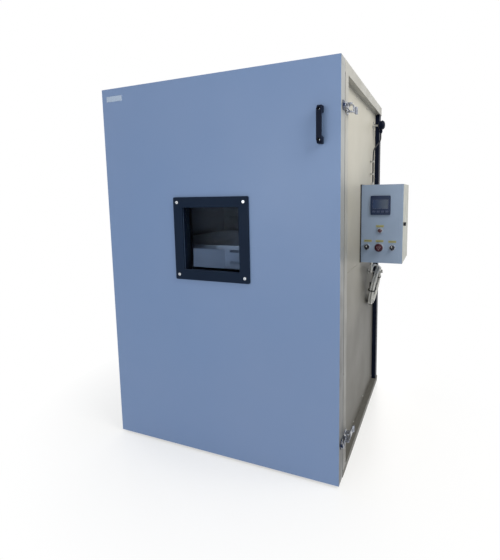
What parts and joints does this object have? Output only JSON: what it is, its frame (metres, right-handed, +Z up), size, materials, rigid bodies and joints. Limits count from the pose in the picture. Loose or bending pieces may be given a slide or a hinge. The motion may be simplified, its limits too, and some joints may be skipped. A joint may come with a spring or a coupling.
{
  "type": "laboratory drying oven",
  "caption": "Tall floor-standing drying oven with an insulated hinged door, small window, side control box, draw latches, fan-driven air baffle, shelves and a roof exhaust.",
  "frame": {"origin": "centre of the cabinet's footprint, on the floor", "axes": "+Z up, door faces -Y, control box on the +X side wall, door hinges on the -X side"},
  "size_m": [1.355, 1.309, 1.83],
  "materials": {
    "door_blue_paint": "satin",
    "pale_edge_paint": "satin",
    "cream_grey_paint": "satin",
    "black_paint": "satin",
    "galvanised_sheet": "spangled",
    "stainless_sheet": "brushed",
    "mineral_wool": "matte",
    "heater_sheath": "oxidised",
    "motor_paint": "gloss",
    "cast_hub": "cast",
    "zinc_plate": "plated",
    "chrome_plate": "polished",
    "catch_paint": "satin",
    "black_plastic": "matte",
    "clear_glass": "polished",
    "black_rubber": "matte",
    "box_grey_paint": "fine texture",
    "component_plastic": "matte",
    "meter_case": "matte",
    "meter_display": "gloss",
    "meter_key": "matte",
    "lamp_red": "gloss",
    "stop_red": "satin",
    "knob_black": "satin",
    "cable_black": "matte",
    "cable_grey": "satin"
  },
  "bodies": {
    "cabinet": {"base_frame": "galvanised_sheet", "roof_cover": "galvanised_sheet", "corner_posts": "cream_grey_paint", "side_panels": "galvanised_sheet", "rear_panel": "galvanised_sheet", "front_frame": "stainless_sheet", "chamber_liner": "stainless_sheet", "insulation": "mineral_wool", "shelf_runners": "stainless_sheet", "shelf_lower": "stainless_sheet", "shelf_middle": "stainless_sheet", "shelf_upper": "stainless_sheet", "air_baffle": "stainless_sheet", "heater_elements": "heater_sheath", "fan_motor": "motor_paint", "exhaust_pipe": "galvanised_sheet", "hinge_frame_halves": "zinc_plate", "latch_bases": "chrome_plate", "cable_duct": "black_plastic", "box_shell": "box_grey_paint", "box_mounting_plate": "zinc_plate", "box_components": "component_plastic", "controller_body": "meter_case", "controller_screen": "meter_display", "pilot_lamp": "lamp_red", "switch_bezels": "chrome_plate", "thermocouple_stem": "zinc_plate", "thermocouple_head": "black_plastic", "cable_glands": "zinc_plate", "sensor_cable": "cable_black", "power_lead": "cable_grey", "power_coil": "cable_grey", "power_plug": "cable_black"},
    "door": {"door_front_skin": "door_blue_paint", "door_inner_skin": "stainless_sheet", "door_edge_frame": "pale_edge_paint", "door_insulation": "mineral_wool", "window_bezels": "black_paint", "window_panes": "clear_glass", "window_tunnel": "stainless_sheet", "door_gasket": "black_rubber", "door_handle": "black_plastic", "hinge_door_halves": "zinc_plate", "latch_catches": "catch_paint"},
    "latch_lever_upper": {"latch_lever_upper": "chrome_plate"},
    "latch_lever_lower": {"latch_lever_lower": "chrome_plate"},
    "latch_bail_upper": {"latch_bail_upper": "chrome_plate"},
    "latch_bail_lower": {"latch_bail_lower": "chrome_plate"},
    "fan": {"fan_impeller": "cast_hub"},
    "damper": {"damper_flap": "zinc_plate"},
    "box_door": {"box_door": "box_grey_paint"},
    "box_lock": {"box_lock": "chrome_plate"},
    "selector_left": {"selector_left": "knob_black"},
    "selector_right": {"selector_right": "knob_black"},
    "stop_stem": {"stop_stem": "chrome_plate"},
    "stop_head": {"stop_head": "stop_red"},
    "key_1": {"key_1": "meter_key"},
    "key_2": {"key_2": "meter_key"},
    "key_3": {"key_3": "meter_key"},
    "key_4": {"key_4": "meter_key"}
  },
  "joints": [
    {"name": "door_hinge", "type": "hinge", "parent": "cabinet", "child": "door", "pos_m": [-0.584, -0.518, 0.86], "axis": [0, 0, -1], "range_deg": [0, 170]},
    {"name": "latch_upper_lever_turn", "type": "hinge", "parent": "cabinet", "child": "latch_lever_upper", "pos_m": [0.585, -0.492, 1.545], "axis": [0, 0, -1], "range_deg": [0, 100]},
    {"name": "latch_upper_bail_turn", "type": "hinge", "parent": "latch_lever_upper", "child": "latch_bail_upper", "pos_m": [0.578, -0.474, 1.545], "axis": [0, 0, -1], "range_deg": [-100, 0]},
    {"name": "latch_lower_lever_turn", "type": "hinge", "parent": "cabinet", "child": "latch_lever_lower", "pos_m": [0.585, -0.492, 0.175], "axis": [0, 0, -1], "range_deg": [0, 100]},
    {"name": "latch_lower_bail_turn", "type": "hinge", "parent": "latch_lever_lower", "child": "latch_bail_lower", "pos_m": [0.578, -0.474, 0.175], "axis": [0, 0, -1], "range_deg": [-100, 0]},
    {"name": "fan_spin", "type": "hinge", "parent": "cabinet", "child": "fan", "pos_m": [0, 0.4, 0.86], "axis": [0, 1, 0], "continuous": true},
    {"name": "damper_turn", "type": "hinge", "parent": "cabinet", "child": "damper", "pos_m": [0, 0.2, 1.765], "axis": [1, 0, 0], "range_deg": [0, 90]},
    {"name": "box_door_hinge", "type": "hinge", "parent": "cabinet", "child": "box_door", "pos_m": [0.73415, 0.308, 1.0575], "axis": [0, 0, 1], "range_deg": [0, 115]},
    {"name": "box_lock_turn", "type": "hinge", "parent": "box_door", "child": "box_lock", "pos_m": [0.75, 0.018, 1.0575], "axis": [1, 0, 0], "range_deg": [0, 90]},
    {"name": "selector_left_turn", "type": "hinge", "parent": "cabinet", "child": "selector_left", "pos_m": [0.577, -0.02, 0.94], "axis": [0, 1, 0], "range_deg": [-45, 45]},
    {"name": "selector_right_turn", "type": "hinge", "parent": "cabinet", "child": "selector_right", "pos_m": [0.7005, -0.02, 0.94], "axis": [0, 1, 0], "range_deg": [-45, 45]},
    {"name": "stop_press", "type": "slide", "parent": "cabinet", "child": "stop_stem", "axis": [0, 1, 0], "range_m": [0, 0.006]},
    {"name": "stop_twist", "type": "hinge", "parent": "stop_stem", "child": "stop_head", "pos_m": [0.638, -0.03, 0.94], "axis": [0, 1, 0], "range_deg": [0, 30], "stiffness_Nm_per_rad": 0.02},
    {"name": "key_1_press", "type": "slide", "parent": "cabinet", "child": "key_1", "axis": [0, 1, 0], "range_m": [0, 0.0008], "stiffness_N_per_m": 400, "springref_m": -0.0005},
    {"name": "key_2_press", "type": "slide", "parent": "cabinet", "child": "key_2", "axis": [0, 1, 0], "range_m": [0, 0.0008], "stiffness_N_per_m": 400, "springref_m": -0.0005},
    {"name": "key_3_press", "type": "slide", "parent": "cabinet", "child": "key_3", "axis": [0, 1, 0], "range_m": [0, 0.0008], "stiffness_N_per_m": 400, "springref_m": -0.0005},
    {"name": "key_4_press", "type": "slide", "parent": "cabinet", "child": "key_4", "axis": [0, 1, 0], "range_m": [0, 0.0008], "stiffness_N_per_m": 400, "springref_m": -0.0005}
  ],
  "couplings": [
    {"joint": "latch_upper_bail_turn", "follows": "latch_upper_lever_turn", "ratio": -1},
    {"joint": "latch_lower_bail_turn", "follows": "latch_lower_lever_turn", "ratio": -1}
  ]
}
